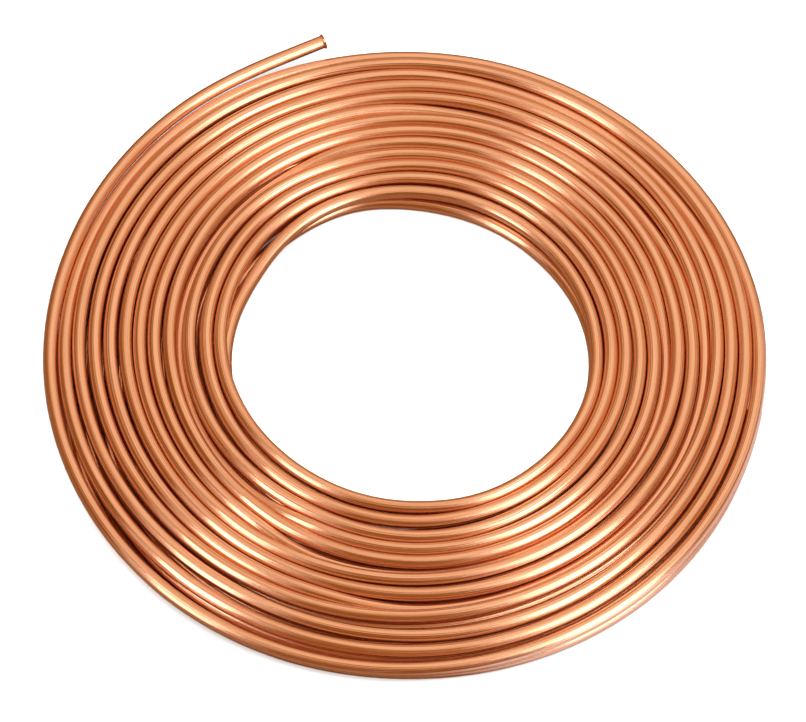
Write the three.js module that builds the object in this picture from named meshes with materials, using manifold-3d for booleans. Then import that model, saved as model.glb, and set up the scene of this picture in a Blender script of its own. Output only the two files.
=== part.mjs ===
// Pancake coil of soft copper tube: two layers of flat spiral turns lying on each other. The free end springs
// clear of the upper layer; the other end lies under the outer turn, out of sight, and isn't modelled.
// Millimetres, +Z up, the coil lies flat with its lowest turns on z = 0.
import * as THREE from 'three';
import { mergeVertices } from 'three/addons/utils/BufferGeometryUtils.js';
import Module from 'manifold-3d';

// The tube: 3/8 in outside diameter with a 0.8 mm wall.
const TUBE_OD = 9.52;
const WALL = 0.8;

// The winding, measured on the tube's centreline.
const LAYERS = 2;
const TURNS = 13;
const OUTER_TURN_RADIUS = 246;
const INNER_TURN_RADIUS = 127.2;

// The free end leaves the outermost turn of the upper layer in a gentler bend and ends straight.
const TAIL_START_DEG = 170;
const TAIL_BEND_RADIUS = 274;
const TAIL_SWEEP_DEG = 52;
const TAIL_STRAIGHT = 48;
const FLARE_OD = 11.6;
const FLARE_LENGTH = 2.4;
const LIP = 0.6;

// How far the open bore is cut into the free end.
const BORE_DEPTH = 30;

// Facets.
const COIL_SEGMENTS = 40;
const TURN_SIDES = 8;
const TUBE_SIDES = 12;
const PATH_STEP = 12;

const TUBE_R = TUBE_OD / 2;
const BORE_R = TUBE_R - WALL;
const PITCH = (OUTER_TURN_RADIUS - INNER_TURN_RADIUS) / (TURNS - 1);
const UPPER_Z = TUBE_OD * LAYERS - TUBE_R;
const LOWER_Z = TUBE_R;
const rad = THREE.MathUtils.degToRad;

const wasm = await Module();
wasm.setup();

/** A closed three.js geometry as a manifold solid. */
function solidOf(geometry) {
  const bare = geometry.index ? geometry.toNonIndexed() : geometry.clone();
  for (const name of ['normal', 'uv']) bare.deleteAttribute(name);
  const merged = mergeVertices(bare, 1e-4);
  return new wasm.Manifold(new wasm.Mesh({
    numProp: 3,
    vertProperties: new Float32Array(merged.attributes.position.array),
    triVerts: new Uint32Array(merged.index.array),
  }));
}

/** A manifold solid as a three.js geometry. */
function geometryOf(solid) {
  const mesh = solid.getMesh();
  const geometry = new THREE.BufferGeometry();
  geometry.setAttribute('position', new THREE.BufferAttribute(mesh.vertProperties, 3));
  geometry.setIndex(new THREE.BufferAttribute(mesh.triVerts, 1));
  return geometry;
}

/** A corner of the turn's polygon, whose flats lie on the tube's circle at top, bottom and both sides. */
function turnCorner(centreRadius, centreZ, corner) {
  const angle = (corner + 0.5) * (2 * Math.PI / TURN_SIDES);
  const reach = TUBE_R / Math.cos(Math.PI / TURN_SIDES);
  return new THREE.Vector2(centreRadius + reach * Math.cos(angle), centreZ + reach * Math.sin(angle));
}

/** The wound body: one ring whose two faces show every turn and whose walls show both layers. */
function windingGeometry() {
  const half = TURN_SIDES / 2;
  const profile = [];
  const turnRadius = (turn) => OUTER_TURN_RADIUS - turn * PITCH;
  const layerZ = (layer) => LOWER_Z + layer * TUBE_OD;

  for (let layer = 0; layer < LAYERS; layer++) {
    for (const corner of [-1, 0]) profile.push(turnCorner(OUTER_TURN_RADIUS, layerZ(layer), corner));
  }
  for (let turn = 0; turn < TURNS; turn++) {
    const first = turn === 0 ? 1 : 0;
    const last = turn === TURNS - 1 ? half - 2 : half - 1;
    for (let corner = first; corner <= last; corner++) profile.push(turnCorner(turnRadius(turn), UPPER_Z, corner));
  }
  for (let layer = LAYERS - 1; layer >= 0; layer--) {
    for (const corner of [half - 1, half]) profile.push(turnCorner(INNER_TURN_RADIUS, layerZ(layer), corner));
  }
  for (let turn = TURNS - 1; turn >= 0; turn--) {
    const first = turn === TURNS - 1 ? half + 1 : half;
    const last = turn === 0 ? TURN_SIDES - 2 : TURN_SIDES - 1;
    for (let corner = first; corner <= last; corner++) profile.push(turnCorner(turnRadius(turn), LOWER_Z, corner));
  }
  profile.push(profile[0].clone());
  return new THREE.LatheGeometry(profile, COIL_SEGMENTS).rotateX(Math.PI / 2);
}

/** A path given by a function of 0 to 1. */
class Path extends THREE.Curve {
  constructor(pointAt) {
    super();
    this.pointAt = pointAt;
  }
  getPoint(t, target = new THREE.Vector3()) {
    return target.copy(this.pointAt(t));
  }
}

/** A round bar along the part of a path between two distances from its start. */
function barAlong(path, radius, from, to) {
  const length = path.getLength();
  const stretch = new Path((t) => path.getPoint((from + t * (to - from)) / length));
  const circle = new THREE.Shape().absarc(0, 0, radius, 0, 2 * Math.PI);
  return new THREE.ExtrudeGeometry(circle, {
    curveSegments: TUBE_SIDES / 2,
    steps: Math.ceil((to - from) / PATH_STEP),
    extrudePath: stretch,
    bevelEnabled: false,
  });
}

/** The free end's line: an arc tangent to the outermost turn, then a straight in the arc's last heading. */
const tailPath = new Path((t) => {
  const start = rad(TAIL_START_DEG);
  const heading = start - Math.PI / 2;
  const arcLength = TAIL_BEND_RADIUS * rad(TAIL_SWEEP_DEG);
  const along = t * (arcLength + TAIL_STRAIGHT);
  const turned = heading - Math.min(along, arcLength) / TAIL_BEND_RADIUS;
  const straight = Math.max(0, along - arcLength);
  return new THREE.Vector3(
    OUTER_TURN_RADIUS * Math.cos(start) + TAIL_BEND_RADIUS * (Math.sin(heading) - Math.sin(turned))
      + straight * Math.cos(turned),
    OUTER_TURN_RADIUS * Math.sin(start) - TAIL_BEND_RADIUS * (Math.cos(heading) - Math.cos(turned))
      + straight * Math.sin(turned),
    UPPER_Z,
  );
});

/** A turned piece set on the end of a path: profile radii against the distance past the path's end. */
function turnedAtEnd(path, profile) {
  const points = profile.map(([radius, along]) => new THREE.Vector2(radius, along));
  const geometry = new THREE.LatheGeometry(points, TUBE_SIDES);
  const turn = new THREE.Quaternion().setFromUnitVectors(new THREE.Vector3(0, 1, 0), path.getTangent(1));
  return geometry.applyQuaternion(turn).translate(...path.getPoint(1).toArray());
}

const FLARE_R = FLARE_OD / 2;
const tailLength = tailPath.getLength();

// The flare tapers out from the tube to its lip, and its mouth tapers in to the bore.
const flare = turnedAtEnd(tailPath, [[0, -FLARE_LENGTH], [TUBE_R, -FLARE_LENGTH], [FLARE_R, 0], [0, 0]]);
const flareMouth = turnedAtEnd(tailPath, [
  [0, -FLARE_LENGTH], [BORE_R, -FLARE_LENGTH], [FLARE_R - LIP, 0], [FLARE_R - LIP, 1], [0, 1],
]);
const tailBore = barAlong(tailPath, BORE_R, tailLength - BORE_DEPTH, tailLength - 0.5 * FLARE_LENGTH);

const tube = solidOf(windingGeometry())
  .add(solidOf(barAlong(tailPath, TUBE_R, 0, tailLength)))
  .add(solidOf(flare))
  .subtract(solidOf(tailBore))
  .subtract(solidOf(flareMouth));

const brightCopper = new THREE.MeshStandardMaterial({ color: 0xd98a5e, roughness: 0.25, metalness: 1 });
const coil = new THREE.Mesh(geometryOf(tube), brightCopper);
coil.name = 'coiled_tube';

// The origin is the middle of the coil's footprint, tail included, on the floor.
coil.geometry.computeBoundingBox();
const middle = coil.geometry.boundingBox.getCenter(new THREE.Vector3());
coil.position.set(-middle.x, -middle.y, 0);

const copperTubeCoil = new THREE.Group();
copperTubeCoil.add(coil);
export default copperTubeCoil;
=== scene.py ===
# %% [markdown]
# # A pancake coil of soft copper tube
# Soft copper tube leaves the mill in flat "pancake" coils. This one is a single 3/8 inch tube, wound
# inwards as one flat spiral and back outwards as a second spiral below it, so both ends are on the
# outside. The cells below work out how the turns lie, draw the tube along that line, open its ends,
# and give it the finish of bright drawn copper.

# %% Load the fixed frame
import math

import bpy
import numpy as np
from mathutils import Matrix, Vector


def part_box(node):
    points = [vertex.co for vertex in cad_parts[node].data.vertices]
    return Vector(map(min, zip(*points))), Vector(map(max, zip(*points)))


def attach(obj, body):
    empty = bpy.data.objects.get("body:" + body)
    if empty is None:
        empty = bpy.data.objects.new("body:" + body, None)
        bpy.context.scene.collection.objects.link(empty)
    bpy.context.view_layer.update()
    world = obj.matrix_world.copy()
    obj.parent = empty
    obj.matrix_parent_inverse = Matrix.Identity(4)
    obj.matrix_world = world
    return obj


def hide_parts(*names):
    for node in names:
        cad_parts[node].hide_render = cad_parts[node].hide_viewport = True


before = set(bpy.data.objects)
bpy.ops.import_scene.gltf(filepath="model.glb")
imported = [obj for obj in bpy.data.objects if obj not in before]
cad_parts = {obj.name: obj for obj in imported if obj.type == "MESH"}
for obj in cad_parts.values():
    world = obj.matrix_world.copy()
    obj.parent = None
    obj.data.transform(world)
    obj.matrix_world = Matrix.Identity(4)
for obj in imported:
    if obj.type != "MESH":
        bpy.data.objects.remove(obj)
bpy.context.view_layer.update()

# %% [markdown]
# ## Sizes
# The CAD node is a plain stand-in: rings side by side in two layers. Its box says where the coil
# lies. The coil's round part is as wide as the box, and the free end only reaches past it at the
# back, so the coil's own centre follows from the box's width and its front edge.

# %% Sizes from the frame
MM = 0.001
TUBE_OD = 9.52                       # mm, 3/8 inch
WALL = 0.8
TOP_Z = 1.5 * TUBE_OD                # centreline height of the upper layer, a tube above the lower one

low, high = (Vector(corner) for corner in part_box("coiled_tube"))
coil_radius = (high.x - low.x) / 2
COIL_CENTRE = Vector(((low.x + high.x) / 2, low.y + coil_radius, low.z))
print("coil radius", round(coil_radius / MM, 1), "mm, centre", [round(v / MM, 1) for v in COIL_CENTRE])

# %% [markdown]
# ## How the turns lie
# A hand-wound coil is never a perfect spiral: the turns drift, leave gaps, and here and there one
# drops between its neighbours into the layer below. A perfect helix would look like a machine
# drawing, so the turns are set out as a winder would mark them: each row is one turn of the upper
# layer, from the outside in, with the radius of its centreline at nine bearings. Bearings are in
# degrees, counter-clockwise seen from above, and the tube is followed in that direction.

# %% Set out the upper layer, in millimetres
BEARINGS = (120, 160, 200, 240, 280, 320, 360, 400, 440)
UPPER_TURNS = (
    (256, 246, 243.5, 246, 245.5, 244, 243, 244.5, 247),
    (246, 237, 232, 231, 233, 232.5, 233, 235.5, 239),
    (237, 228.5, 221, 218.5, 221.5, 221.5, 223, 227, 230),
    (226, 218, 209.5, 206, 206, 208.5, 213.5, 219, 220.5),
    (216, 207.5, 199, 197.5, 199, 203.5, 207, 209, 210),
    (205.5, 197, 188, 185.5, 190.5, 195.5, 198, 200.5, 201),
    (195.5, 187, 178.5, 175.5, 179, 183.5, 188.5, 191.5, 192),
    (186.5, 177, 169, 169.5, 172.5, 178, 180.5, 181, 182),
    (177, 166.5, 157.5, 159, 166, 171, 172, 172, 172),
    (169, 159.5, 152, 151, 156.5, 161, 162, 162.5, 163.5),
    (161.5, 152.5, 144.5, 141.5, 147, 150, 151.5, 152.5, 154),
    (151, 141, 133, 131, 135, 140, 141.5, 141.5, 142.5),
    (139.5, 131, 122.5, 119.5, 124.5, 131, 132, 131, 131),
)
# The free end lies clear of the coil and ends straight: bearing and radius, from the tip inwards.
FREE_END = ((103.1, 264.5), (105, 262.5), (107.5, 260.5), (111, 258.7), (124, 255.3), (134, 252.8),
            (146, 249.5), (158, 246.5), (168, 245))
# The innermost turn has the bore beside it, where every bump shows, so it gets more marks.
BORE_EDGE = ((196, 123.3), (208, 121.3), (220, 119.8), (249, 120.3), (260, 121.5), (287, 126.2),
             (323, 131.4), (340, 133))
# Where an upper turn drops: turn, first and last bearing, depth, and how many laps further along
# the tube the lower turn is that lies just outside it there. None leaves that to the marks.
SUNK = (
    (2, 8, 110, 4.8, None),
    (2, 110, 172, 3.5, 21),
    (3, 386, 440, 4.6, 18),
    (5, 262, 366, 7, 14),
    (6, 385, 448, 5, 13),
    (8, 240, 372, 7, 10),
    (10, 113, 236, 6.8, 7),
)
print(len(UPPER_TURNS), "turns in the upper layer, which sinks in", len(SUNK), "stretches")

# %% [markdown]
# The tube then steps down at the bore and winds outwards again underneath. Of that layer only the
# edge at the bore, the rim and what shows through the gaps are seen. So its first turn and its last
# three and a half are set out one by one, and the turns between them are an even spiral. Its bearings
# are counted from the end of the step down, and at the rim backwards from the last full turn.

# %% Set out the step down and the lower layer
# Bearing, radius, and how far the tube has gone down.
STEP_DOWN = ((117, 130, 0), (135, 126, 0.5), (150, 123.5, 4.3), (165, 124, 7.6), (180, 124.5, TUBE_OD))
LOWER_TURNS = 9
LOWER_BORE_EDGE = (
    (54, 121.5), (90, 123.5), (124, 128.5), (160, 131.3), (180, 131.1), (198, 129), (216, 126.5),
    (240, 125.6), (270, 125), (300, 125.4), (318, 126.5), (340, 131.5), (360, 134.5),
)
LOWER_RIM = (
    (-1080, 195), (-1050, 201), (-1020, 207), (-960, 210), (-930, 213), (-900, 213), (-870, 209),
    (-840, 209.3), (-810, 208.5), (-780, 207.5), (-720, 207.5), (-700, 213), (-680, 219),
    (-660, 221.5), (-600, 221), (-570, 222.5), (-540, 224.5), (-510, 219.8), (-480, 220.5),
    (-450, 226), (-420, 223), (-390, 219.5), (-360, 219.5), (-340, 225.5), (-320, 230.5),
    (-300, 232.5), (-240, 232.5), (-210, 233.5), (-180, 234.5), (-150, 235.5), (-100, 238.5),
    (-79, 238.5), (-60, 237), (-30, 233), (-8, 229.5), (10, 232), (25, 237), (40, 241.3),
    (60, 242.2), (90, 242.4), (106, 243.8), (121, 244.6), (138, 244.2), (152, 242.8), (161, 241.8),
    (170, 241.8),
)
step_down_at = 360 * len(UPPER_TURNS)
lower_from = step_down_at + STEP_DOWN[-1][0]
rim_from = lower_from + 360 * (LOWER_TURNS - 1)
tube_ends_at = rim_from + LOWER_RIM[-1][0]
print("lower layer from", lower_from, "to", tube_ends_at, "degrees along the tube")

# %% Gather the marks along the tube
marks = {bearing: radius for bearing, radius in FREE_END}
for turn, row in enumerate(UPPER_TURNS):
    marks.update({360 * turn + bearing: radius for bearing, radius in zip(BEARINGS, row)})
marks.update({step_down_at - 360 + bearing: radius for bearing, radius in BORE_EDGE})
marks.update({step_down_at + bearing: radius for bearing, radius, drop in STEP_DOWN})
marks.update({lower_from + bearing: radius for bearing, radius in LOWER_BORE_EDGE})
marks.update({rim_from + bearing: radius for bearing, radius in LOWER_RIM})
even_from = lower_from + LOWER_BORE_EDGE[-1][0]
even_to = rim_from + LOWER_RIM[0][0]
even_radii = (LOWER_BORE_EDGE[-1][1], LOWER_RIM[0][1])
for station in range(even_from + 360, even_to, 360):
    marks[station] = np.interp(station, (even_from, even_to), even_radii)
print(len(marks), "marks from", min(marks), "to", max(marks), "degrees")

# %% [markdown]
# ## One smooth line
# A real tube has no corners, so no straight pieces run from mark to mark. A spline through so many
# marks could swing wide between them. Here each stretch is a cubic whose slope at a mark comes from
# that mark's two neighbours, and the whole line is then rounded off a little. The height goes the same
# way: it steps down wherever a turn sinks, and a longer rounding makes a gentle slope of each step.

# %% Helpers: a line through marks, and easing
DEGREES = 2                          # spacing of the worked points along the tube


def through_marks(stations, values, at):
    """A smooth line through marks: cubics whose slope at each mark follows from its two neighbours."""
    steps = np.diff(stations)
    rises = np.diff(values) / steps
    inner = (rises[:-1] * steps[1:] + rises[1:] * steps[:-1]) / (steps[:-1] + steps[1:])
    slopes = np.concatenate([rises[:1], inner, rises[-1:]])
    piece = np.clip(np.searchsorted(stations, at, side="right") - 1, 0, len(steps) - 1)
    step = steps[piece]
    share = (at - stations[piece]) / step
    rest = 1 - share
    start = (1 + 2 * share) * rest ** 2 * values[piece] + share * rest ** 2 * step * slopes[piece]
    end = share ** 2 * (3 - 2 * share) * values[piece + 1] - share ** 2 * rest * step * slopes[piece + 1]
    return start + end


def eased(values, window):
    """Values along the tube with their corners rounded over a window in degrees."""
    count = int(window / DEGREES) | 1
    weights = np.hanning(count + 2)[1:-1]
    pad = count // 2
    before = 2 * values[0] - values[1:pad + 1][::-1]
    after = 2 * values[-1] - values[-pad - 1:-1][::-1]
    return np.convolve(np.concatenate([before, values, after]), weights / weights.sum(), "valid")


# %% Radius along the tube
MARK_EASE = 10                       # degrees over which the line rounds off its marks

tube_starts_at = min(marks)
angle = np.arange(tube_starts_at, tube_ends_at + DEGREES, DEGREES, dtype=float)
stations = np.array(sorted(marks), dtype=float)
radius_at = np.array([marks[station] for station in stations])
marked_radius = eased(through_marks(stations, radius_at, angle), MARK_EASE)
print(len(angle), "points, radius %.1f to %.1f mm" % (marked_radius.min(), marked_radius.max()))

# %% Height along the tube
DROP_EASE = 30                       # degrees over which a turn goes down or comes up

height = np.full_like(angle, TOP_Z)
laps_on = np.full_like(angle, np.nan)            # the last column of SUNK, point by point
for turn, first, last, depth, laps_to_outer in SUNK:
    turn_from = 360 * (turn - 1)
    height[(angle >= turn_from + first) & (angle <= turn_from + last)] -= depth
    if laps_to_outer is not None:
        ease = DROP_EASE / 2
        laps_on[(angle >= turn_from + first - ease) & (angle <= turn_from + last + ease)] = laps_to_outer
drop_at = [step_down_at + bearing for bearing, radius, drop in STEP_DOWN]
drops = [drop for bearing, radius, drop in STEP_DOWN]
in_lower = angle > drop_at[0]
height[in_lower] = TOP_Z - np.interp(angle[in_lower], drop_at, drops)
height = eased(height, DROP_EASE)
print("centreline height %.2f to %.2f mm" % (height.min(), height.max()))

# %% [markdown]
# ## Let the turns find room
# No two turns can be in the same place. A physics simulation of 25 m of tube could settle them, but it
# is slow, and it would undo the marks. A simpler way is to cut the coil through at every bearing,
# which gives two rows of circles, and to move any two that overlap apart. The upper turns hardly move,
# because they were set out one by one, and the lower ones give way, as they do in a real coil. After
# every few pushes the moves are eased along the tube, so that it bends smoothly.

# %% Helpers: the tube cut into laps
LAP = 360 // DEGREES                 # worked points in one lap
laps = math.ceil(len(angle) / LAP)


def by_lap(values):
    """The points as a table: one row for each lap of the tube, one column for each bearing."""
    table = np.full(laps * LAP, np.nan)
    table[:len(values)] = values
    return table.reshape(laps, LAP)


def between_turns(values):
    """The difference between every two turns, at every bearing."""
    return by_lap(values)[:, None] - by_lap(values)[None]


# %% Which of two turns is the outer one
lap_number = np.arange(laps)
first_lower_lap = int((lower_from - tube_starts_at) // 360)
is_upper = lap_number < first_lower_lap

# The upper layer winds inwards and the lower one outwards, so within a layer the lap number tells.
# Between layers SUNK tells it for its stretches. Elsewhere it is left open, and read from where the
# two turns are.
outwards = np.where(is_upper, -lap_number, lap_number)
told_side = np.repeat(np.sign(outwards[:, None] - outwards[None])[..., None].astype(float), LAP, axis=2)
told_side[is_upper[:, None] != is_upper[None]] = np.nan
for lap, to_outer in enumerate(by_lap(laps_on)):
    told = ~np.isnan(to_outer)
    for other in range(first_lower_lap, laps):
        told_side[other, lap, told] = np.where(other - lap >= to_outer[told], 1.0, -1.0)
        told_side[lap, other, told] = -told_side[other, lap, told]
print(laps, "laps, of which", is_upper.sum(), "are in the upper layer")

# %% How readily each turn gives way
UPPER_YIELD = 0.05                   # where a lower turn has 1
LOOSE_BEFORE = 60                    # degrees of the step down that give way like the lower layer

is_firm = angle < lower_from - LOOSE_BEFORE
yielding = by_lap(np.where(is_firm, UPPER_YIELD, 1.0))
own_share = np.nan_to_num(yielding[:, None] / (yielding[:, None] + yielding[None]))
needed = np.sqrt(np.clip(TUBE_OD ** 2 - between_turns(height) ** 2, 0, None))
needed[lap_number, lap_number] = 0
print("firm: %d of %d points" % (is_firm.sum(), len(angle)))


# %% Helper: one push
def push(radius):
    """How far each turn is pushed by the others that it overlaps at its bearing."""
    across = between_turns(radius)
    side = np.where(np.isnan(told_side), np.sign(across), told_side)
    lacking = np.nan_to_num(np.clip(needed - across * side, 0, None))
    return (lacking * own_share * np.nan_to_num(side)).sum(axis=1).reshape(-1)[:len(angle)]


# %% Push overlapping turns apart
ROUNDS = 30
PUSHES = 12                          # in each round, before the moves are eased
PUSH_SHARE = 0.5                     # of the room that is lacking, given in one push
MOVE_EASE = 16                       # degrees

moved = np.zeros_like(angle)
for _ in range(ROUNDS):
    for _ in range(PUSHES):
        moved += PUSH_SHARE * push(marked_radius + moved)
    moved = eased(moved, MOVE_EASE)
radius = marked_radius + moved

centre_to_centre = np.hypot(between_turns(radius), between_turns(height))
centre_to_centre[lap_number, lap_number] = np.nan
print("closest turns: %.2f mm between centres, tube %.2f mm" % (np.nanmin(centre_to_centre), TUBE_OD))
firm_moved = np.abs(moved[is_firm]).max()
print("moved at most: %.1f mm above, %.1f mm below" % (firm_moved, np.abs(moved[~is_firm]).max()))

# %% Points evenly spaced along the tube
RING_SPACING = 6.75                  # mm between rings of the mesh

turned = np.radians(angle)
line = np.stack([radius * np.cos(turned), radius * np.sin(turned), height], axis=1)
travelled = np.concatenate([[0], np.cumsum(np.linalg.norm(np.diff(line, axis=0), axis=1))])
tube_length = np.interp(tube_ends_at, angle, travelled)
ring_at = np.linspace(0, tube_length, int(tube_length / RING_SPACING))
rings = np.stack([np.interp(ring_at, travelled, line[:, axis]) for axis in range(3)], axis=1)
points = [COIL_CENTRE + Vector(ring) * MM for ring in rings]
print("tube length %.1f m in %d rings" % (tube_length * MM, len(points)))

# %% [markdown]
# ## Draw the tube
# The tube is one round section swept along one line. A Screw modifier winds only even helices, and
# extruding a circle thousands of times is slow. The short way is a curve with a bevel, turned into a
# mesh: a poly curve makes exactly one ring of points at each of its points, and the Z-up twist keeps
# the same side of the tube on top all the way, so a map of its surface stays straight.

# %% Sweep the section along the line
RING_SIDES = 24

bpy.ops.object.select_all(action="DESELECT")
bpy.ops.curve.primitive_nurbs_path_add(location=(0, 0, 0))
tube = bpy.context.object
tube.name = "wound_copper_tube"
curve = tube.data
curve.splines.clear()
spline = curve.splines.new("POLY")
spline.points.add(len(points) - 1)
spline.points.foreach_set("co", [value for point in points for value in (*point, 1.0)])
curve.dimensions = "3D"
curve.twist_mode = "Z_UP"
curve.bevel_depth = TUBE_OD / 2 * MM
curve.bevel_resolution = (RING_SIDES - 4) // 2     # a bevel has 4 sides, and 2 more for each step
curve.use_fill_caps = False
bpy.ops.object.convert(target="MESH")
tube = bpy.context.object
mesh = tube.data
print("after the sweep:", len(mesh.vertices), "vertices,", len(mesh.vertices) / len(points), "per ring")

# %% [markdown]
# ## Map the surface in metres
# Lines from the drawing die run along a real tube, and so do most marks of handling, round every
# bend. A pattern placed by the room's axes would cut across them. The sweep left a UV map that runs
# from 0 to 1 along the tube and once around it. Stretched to real lengths, it serves every pattern of
# the finish.

# %% Scale the UV map to metres
uv_map = mesh.uv_layers[0]
uv_map.name = "along_and_around"
corners = np.empty(2 * len(uv_map.data), dtype=np.float32)
uv_map.data.foreach_get("uv", corners)
corners = corners.reshape(-1, 2) * (tube_length * MM, math.pi * TUBE_OD * MM)
uv_map.data.foreach_set("uv", corners.ravel())
print("map runs %.2f m along and %.4f m around" % tuple(corners.max(axis=0)))

# %% [markdown]
# ## Open the two ends
# Both ends of a coil are open tube. The free end has been spread a little over a punch, which leaves
# a short flare with a thin lip. The other end was cut square with a wheel cutter, which rolls the
# edge slightly inwards. A Solidify modifier would give the whole tube its wall, and twice the faces
# for an inside that nobody sees. So each mouth is made alone, by extruding the end ring, step by
# step, out to the lip and back down the bore.

# %% Helper: a mouth extruded from an end ring
def open_end(ring_vertices, profile, inner_radius, bore_path):
    """Extrude an end ring through (advance, radius) steps in mm, down the bore, and close it there."""
    bpy.ops.object.mode_set(mode="EDIT")
    bpy.ops.mesh.select_all(action="DESELECT")
    bpy.ops.object.mode_set(mode="OBJECT")
    for index in ring_vertices:
        mesh.vertices[index].select = True
    centre = bore_path[0].copy()
    outward = (bore_path[0] - bore_path[1]).normalized()
    ring_radius = TUBE_OD / 2 * MM
    steps = [(outward * advance * MM, ring * MM) for advance, ring in profile]
    advanced = sum((move for move, ring in steps), Vector())
    steps.append((bore_path[1] - bore_path[0] - advanced, inner_radius * MM))
    steps += [(after - before, inner_radius * MM) for before, after in zip(bore_path[1:], bore_path[2:])]
    bpy.ops.object.mode_set(mode="EDIT")
    bpy.ops.mesh.select_mode(type="VERT")
    for move, ring in steps:
        bpy.ops.mesh.extrude_region_move(TRANSFORM_OT_translate={"value": move})
        centre += move
        bpy.ops.transform.resize(value=(ring / ring_radius,) * 3, center_override=centre)
        ring_radius = ring
    bpy.ops.mesh.edge_face_add()
    bpy.ops.object.mode_set(mode="OBJECT")


# %% Open the flared end and the cut end
BORE_RADIUS = TUBE_OD / 2 - WALL
# Each step: how far the ring moves outwards, and the radius it then has.
FLARE = ((0.7, 4.85), (0.6, 5.15), (0.6, 5.6), (0.25, 5.72), (0.15, 5.6), (-0.15, 5.3), (-0.9, 4.5))
CUT = ((0.25, 4.72), (0.2, 4.55), (0.05, 4.4), (-0.05, 4.1))
BORE_RINGS = 6                       # how many rings deep each mouth is open

bpy.ops.object.select_all(action="DESELECT")
tube.select_set(True)
bpy.context.view_layer.objects.active = tube
last_ring = range(len(mesh.vertices) - RING_SIDES, len(mesh.vertices))
open_end(range(RING_SIDES), FLARE, BORE_RADIUS, points[:BORE_RINGS])
open_end(last_ring, CUT, BORE_RADIUS, points[::-1][:BORE_RINGS])
print("both mouths open, bore %.2f mm across" % (2 * BORE_RADIUS))

# %% Finish the mesh
SHARP = math.radians(50)             # edges sharper than this stay crisp

bpy.ops.object.mode_set(mode="EDIT")
bpy.ops.mesh.select_all(action="SELECT")
bpy.ops.mesh.normals_make_consistent(inside=False)
bpy.ops.object.mode_set(mode="OBJECT")
bpy.ops.object.shade_smooth_by_angle(angle=SHARP)
triangles = sum(len(face.vertices) - 2 for face in mesh.polygons)
print("finished tube:", triangles, "triangles")

# %% Take the place of the stand-in
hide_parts("coiled_tube")
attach(tube, "root")
print(tube.name, "stands for coiled_tube")

# %% [markdown]
# ## Bright drawn copper
# Soft copper tube is drawn cold through polished dies and annealed in clean gas, so it comes out
# bright: a clear metal with a warm pinkish orange colour, almost a mirror, with faint lines along
# it from the die. Handling leaves patches where the shine is a little duller. Light that bounces
# from turn to turn is coloured again each time, which is where the deep red between them comes from;
# where a gap goes right through, a dark red ring below paints that shade in.
# Streaks of light and dark could be painted on, but they would stay put when the coil or a lamp
# moves. So the colour stays nearly even, and the lines work on roughness and bump, as they do on metal.

# %% Helpers: colours and nodes
def srgb(hexcode):
    """A hex colour as the linear values that Blender's sockets take."""
    channels = [int(hexcode[i:i + 2], 16) / 255 for i in (1, 3, 5)]
    return (*[c / 12.92 if c <= 0.04045 else ((c + 0.055) / 1.055) ** 2.4 for c in channels], 1.0)


def add_node(tree, kind, settings=None, links=None, stops=()):
    """Add a node, set its fields and sockets, link its inputs, and give a colour ramp its stops."""
    node = tree.nodes.new(kind)
    for name, value in (settings or {}).items():
        if isinstance(name, int) or name in node.inputs:
            node.inputs[name].default_value = value
        else:
            setattr(node, name, value)
    for name, source in (links or {}).items():
        tree.links.new(source, node.inputs[name])
    for number, (position, colour) in enumerate(stops):
        elements = node.color_ramp.elements
        stop = elements[number] if number < len(elements) else elements.new(position)
        stop.position = position
        stop.color = srgb(colour)
    return node


# %% Helper: a pattern that follows the tube
def along_tube(tree, length, width, detail, roughness):
    """Noise on the tube's own map, with features of about this length and width in mm."""
    uv = add_node(tree, "ShaderNodeUVMap", {"uv_map": "along_and_around"})
    stretch = add_node(tree, "ShaderNodeMapping", {"Scale": (1 / (length * MM), 1 / (width * MM), 1)},
                       {"Vector": uv.outputs["UV"]})
    noise = add_node(tree, "ShaderNodeTexNoise", {"Scale": 1.0, "Detail": detail, "Roughness": roughness},
                     {"Vector": stretch.outputs["Vector"]})
    return noise.outputs["Fac"]


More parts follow.
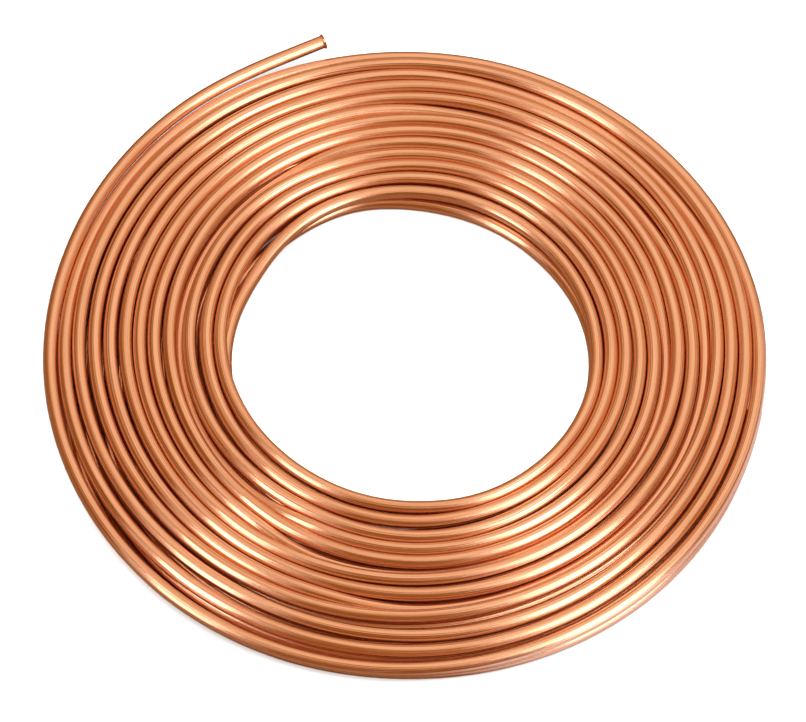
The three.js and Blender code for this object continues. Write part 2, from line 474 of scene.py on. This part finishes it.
# %% The finish
def bright_drawn_copper():
    material = bpy.data.materials.new("bright_drawn_copper")
    material.use_nodes = True
    tree = material.node_tree
    metal = tree.nodes["Principled BSDF"]
    metal.inputs["Metallic"].default_value = 1.0

    # Lines along the tube spread a reflection around it and keep it short lengthwise. The tangent
    # runs along the tube, and a quarter turn lays the spread across it.
    along = add_node(tree, "ShaderNodeTangent", {"direction_type": "UV_MAP", "uv_map": "along_and_around"})
    tree.links.new(along.outputs["Tangent"], metal.inputs["Tangent"])
    metal.inputs["Anisotropic"].default_value = 0.75
    metal.inputs["Anisotropic Rotation"].default_value = 0.25

    # Handling leaves patches, about 60 mm long and 8 mm wide, that are duller and a little paler.
    patches = along_tube(tree, 62.5, 8.333, detail=4.0, roughness=0.55)
    tone = add_node(tree, "ShaderNodeValToRGB", links={"Fac": patches},
                    stops=((0.3, "#E8B492"), (0.7, "#F0C1A2")))
    tree.links.new(tone.outputs["Color"], metal.inputs["Base Color"])
    dull = add_node(tree, "ShaderNodeMapRange",
                    {"From Min": 0.3, "From Max": 0.75, "To Min": 0.06, "To Max": 0.15}, {"Value": patches})

    # The real lines are a few hundredths of a millimetre apart. They are drawn at 0.7 mm, the finest
    # that still shows, and run on for about 200 mm. The ground of a line is duller than the metal
    # beside it.
    lines = along_tube(tree, 200, 0.7143, detail=3.0, roughness=0.6)
    in_line = add_node(tree, "ShaderNodeMapRange", {"From Min": 0.42, "From Max": 0.62, "To Max": 0.28},
                       {"Value": lines, "To Min": dull.outputs["Result"]})
    tree.links.new(in_line.outputs["Result"], metal.inputs["Roughness"])

    # The die also leaves broader flats, about 1.6 mm wide, that run on for half a metre or more.
    flats = along_tube(tree, 625, 1.613, detail=2.0, roughness=0.6)
    broad = add_node(tree, "ShaderNodeBump", {"Strength": 1.0, "Distance": 0.5 * MM}, {"Height": flats})
    bump = add_node(tree, "ShaderNodeBump", {"Strength": 0.5, "Distance": 0.2 * MM},
                    {"Height": lines, "Normal": broad.outputs["Normal"]})
    tree.links.new(bump.outputs["Normal"], metal.inputs["Normal"])
    print(material.name, "has", len(tree.nodes), "nodes")
    return material


mesh.materials.clear()
mesh.materials.append(bright_drawn_copper())

# %% [markdown]
# ## A room made twice
# Bright metal has hardly a look of its own: it shows what stands around it. In a plain white room this
# coil would come out pale and flat, and a dark room would spoil the floor. So the room is made twice.
# What is looked at directly is a plain white sheet in soft white light. What the copper reflects is a
# brown table and a tent round the coil, which nothing but a reflection shows. Only the lamps, further
# down, serve both.

# %% Helper: a matt finish
def matt(name, colour):
    """A dull finish of one colour, for paper, oiled wood and the painted shade under the coil."""
    surface = bpy.data.materials.new(name)
    surface.use_nodes = True
    shader = surface.node_tree.nodes["Principled BSDF"]
    shader.inputs["Base Color"].default_value = srgb(colour)
    shader.inputs["Roughness"].default_value = 0.9
    return surface


# %% Helper: a wide flat sheet
SHEET_SIZE = 12                      # m, wide enough to fill the view when looked down on


def wide_sheet(name, height, finish):
    bpy.ops.mesh.primitive_plane_add(size=SHEET_SIZE, location=(0, 0, height))
    sheet = bpy.context.object
    sheet.name = name
    sheet.data.materials.append(finish)
    print(name, "is", SHEET_SIZE, "m wide")
    return sheet


# %% The white floor, which the copper doesn't reflect
bpy.ops.object.select_all(action="DESELECT")
floor = wide_sheet("white_floor", 0, matt("white_paper", "#F4F4F3"))
floor.visible_glossy = False

# %% The brown table, seen only in reflections
TABLE_HEIGHT = 0.0001                # m, just clear of the floor
PALE_FROM, PALE_TO = 0.185, 0.225    # m from the middle of the room towards the front right
FRONT_RIGHT = (0.8, -0.6, 0)

table = wide_sheet("brown_table", TABLE_HEIGHT, matt("oiled_wood", "#6B4A30"))
table.visible_camera = False
table.visible_diffuse = False
table.visible_shadow = False

# At the front right it turns paler below the outer turns, as if a sheet of paper lay there.
wood = table.data.materials[0].node_tree
place = add_node(wood, "ShaderNodeTexCoord")
across_table = add_node(wood, "ShaderNodeVectorMath", {"operation": "DOT_PRODUCT", 1: FRONT_RIGHT},
                        {0: place.outputs["Object"]})
table_colour = add_node(wood, "ShaderNodeValToRGB", links={"Fac": across_table.outputs["Value"]},
                        stops=((PALE_FROM, "#6B4A30"), (PALE_TO, "#A0989E")))
wood.links.new(table_colour.outputs["Color"], wood.nodes["Principled BSDF"].inputs["Base Color"])
print("table colour turns pale over %.0f mm" % ((PALE_TO - PALE_FROM) / MM))

# %% [markdown]
# ## Felt under the coil
# The white floor would show between the turns as thin grey lines, where a real coil shows only copper
# below copper, deep in shade. More turns below would close the gaps, but there is no room for them
# beside the sunk ones. So the gaps get painted shade: a dark red ring, hidden by the coil but for those
# gaps, stands in for the shaded copper below. It is a circle, extruded and drawn in. The coil is looked
# at from the front and above, so the ring lies a little further back than the coil.

# %% The painted shade ring
GAP_SHADE_INNER, GAP_SHADE_OUTER = 0.135, 0.241                # m
GAP_SHADE_AT = COIL_CENTRE + Vector((0, 0.003, 0.0002))   # a little back, and just above the table

# Painted shade: a dark red ring in place of the shaded copper that shows through the gaps.
bpy.ops.mesh.primitive_circle_add(vertices=128, radius=GAP_SHADE_OUTER, location=GAP_SHADE_AT)
gap_shade = bpy.context.object
gap_shade.name = "painted_gap_shade"
bpy.ops.object.mode_set(mode="EDIT")
bpy.ops.mesh.select_all(action="SELECT")
bpy.ops.mesh.extrude_edges_move()
bpy.ops.transform.resize(value=(GAP_SHADE_INNER / GAP_SHADE_OUTER,) * 3)
bpy.ops.object.mode_set(mode="OBJECT")
# Its dark red is the painted shade of copper deep in the gaps.
gap_shade.data.materials.append(matt("painted_dark_red_shade", "#8E2E14"))
print("felt ring:", len(gap_shade.data.polygons), "faces")

# %% [markdown]
# ## Tent
# Small shiny goods are often lit inside a tent of thin cloth, so that they mirror one soft field of
# light and no corners of the room. An even tent would leave the turns without any modelling. This one
# is dim and brown low down, which draws a dark edge along each turn, and warm white high up at the
# back, which lights the turns' crowns. It is a sphere that glows by itself and is seen only in
# reflections, coloured by a ramp along one direction.

# %% The tent
TENT_RADIUS = 1.5                    # m
TENT_TOP = (0.287, 0.41, 0.866)      # where it is brightest: high up, behind the coil on the right
TENT_GLOW = 1.12
TENT_COLOURS = ((0.0, "#8A5A2C"), (0.4, "#9A6838"), (0.58, "#B28254"), (0.70, "#D1A67F"),
                (0.80, "#EAC5A5"), (0.9, "#F8D7BC"), (0.97, "#FFE8D2"))

bpy.ops.mesh.primitive_uv_sphere_add(segments=48, ring_count=24, radius=1, location=COIL_CENTRE)
tent = bpy.context.object
tent.name = "tent"
tent.scale = (TENT_RADIUS,) * 3      # its own coordinates still run from -1 to 1, as the ramp needs
tent.visible_camera = False
tent.visible_diffuse = False
tent.visible_shadow = False
bpy.ops.object.shade_smooth()
print("tent:", len(tent.data.polygons), "faces")

# %% The tent's cloth
cloth = bpy.data.materials.new("tent_cloth")
cloth.use_nodes = True
tree = cloth.node_tree
tree.nodes.remove(tree.nodes["Principled BSDF"])
place = add_node(tree, "ShaderNodeTexCoord")
towards_top = add_node(tree, "ShaderNodeVectorMath", {"operation": "DOT_PRODUCT", 1: TENT_TOP},
                       {0: place.outputs["Object"]})
tent_colour = add_node(tree, "ShaderNodeValToRGB", links={"Fac": towards_top.outputs["Value"]},
                       stops=TENT_COLOURS)
glow = add_node(tree, "ShaderNodeEmission", {"Strength": TENT_GLOW}, {"Color": tent_colour.outputs["Color"]})
tree.links.new(glow.outputs["Emission"], tree.nodes["Material Output"].inputs["Surface"])
tent.data.materials.append(cloth)
print("tent cloth:", len(TENT_COLOURS), "colours from low to high")

# %% [markdown]
# ## Lamps
# The white glints that run along the turns are reflections of two tall softboxes in front, one on
# either side of the camera. A softbox alone gives a glint with a hard edge. A larger and dimmer one
# close behind it gives the glint a soft border, as cloth that spills light does. The floor takes most
# of its light from a ceiling panel and from the room. The panel is kept out of reflections, where it
# would whiten every crown.

# %% The light of the room
room = bpy.data.worlds.new("studio")
room.use_nodes = True
room.node_tree.nodes["Background"].inputs["Color"].default_value = srgb("#E9E7E4")
room.node_tree.nodes["Background"].inputs["Strength"].default_value = 1.0
bpy.context.scene.world = room
print("room light:", room.name)


# %% Helper: a rectangular lamp
def softbox(name, direction, across, width, tall, radiance, distance):
    """A rectangular lamp that faces the coil, of a given brightness, its width along `across`."""
    data = bpy.data.lights.new(name, "AREA")
    data.shape = "RECTANGLE"
    data.size = width
    data.size_y = tall
    data.energy = radiance * math.pi * width * tall     # a radiance of 1 takes pi W per square metre
    lamp = bpy.data.objects.new(name, data)
    bpy.context.collection.objects.link(lamp)
    back = Vector(direction).normalized()
    side = (Vector(across) - back * Vector(across).dot(back)).normalized()
    turn = Matrix((side, back.cross(side), back)).transposed()
    lamp.matrix_world = Matrix.Translation(COIL_CENTRE + back * distance) @ turn.to_4x4()
    print("%s: %.2f x %.2f m, %.0f W" % (name, width, tall, data.energy))
    return lamp


# %% The softboxes and the ceiling panel
# Where each softbox stands, as seen from the coil, and which way its width runs.
LEFT = ((-0.695, -0.45, 0.56), (-0.573, 0.686, -0.209))
RIGHT = ((0.61, -0.485, 0.62), (-0.768, -0.764, 0.211))
ABOVE = ((0, 0, 1), (1, 0, 0))
NEAR, BEHIND, PANEL = 1.3, 1.35, 1.2                 # m from the coil

softbox("softbox_left", *LEFT, width=0.38, tall=1.30, radiance=2.3, distance=NEAR)
softbox("softbox_left_spill", *LEFT, width=0.9, tall=1.5, radiance=0.5, distance=BEHIND)
softbox("softbox_right", *RIGHT, width=0.56, tall=1.70, radiance=2.5, distance=NEAR)
softbox("softbox_right_spill", *RIGHT, width=1.1, tall=1.9, radiance=0.7, distance=BEHIND)
panel = softbox("ceiling", *ABOVE, width=1.6, tall=1.6, radiance=4.4, distance=PANEL)
panel.data.color = (0.93, 0.97, 1.0)
panel.visible_glossy = False

# %% [markdown]
# ## Camera
# A coil on the ground is looked down on. From close by, its near side would look much larger than its
# far side. So the camera stands well back with a long lens, and the frame is fitted with the lens and
# with a shift of a few pixels.

# %% Camera
ELEVATION = math.radians(59)
DISTANCE = 3.45                      # m
LENS, SENSOR = 223.3, 36             # mm
AIM_BACK = 3.45                      # mm behind the coil's centre
SHIFT_X, SHIFT_Y = -2, -3            # pixels
FRAME_WIDTH = 806                    # pixels

camera_data = bpy.data.cameras.new("camera")
camera_data.sensor_width = SENSOR
camera_data.lens = LENS
camera_data.shift_x = SHIFT_X / FRAME_WIDTH
camera_data.shift_y = SHIFT_Y / FRAME_WIDTH
camera = bpy.data.objects.new("camera", camera_data)
bpy.context.collection.objects.link(camera)
aim = COIL_CENTRE + Vector((0, AIM_BACK, 0)) * MM
camera.location = aim + DISTANCE * Vector((0, -math.cos(ELEVATION), math.sin(ELEVATION)))
camera.rotation_euler = (math.pi / 2 - ELEVATION, 0, 0)
bpy.context.scene.camera = camera
bpy.context.scene.view_settings.view_transform = "Standard"
print("camera at", [round(value, 3) for value in camera.location])
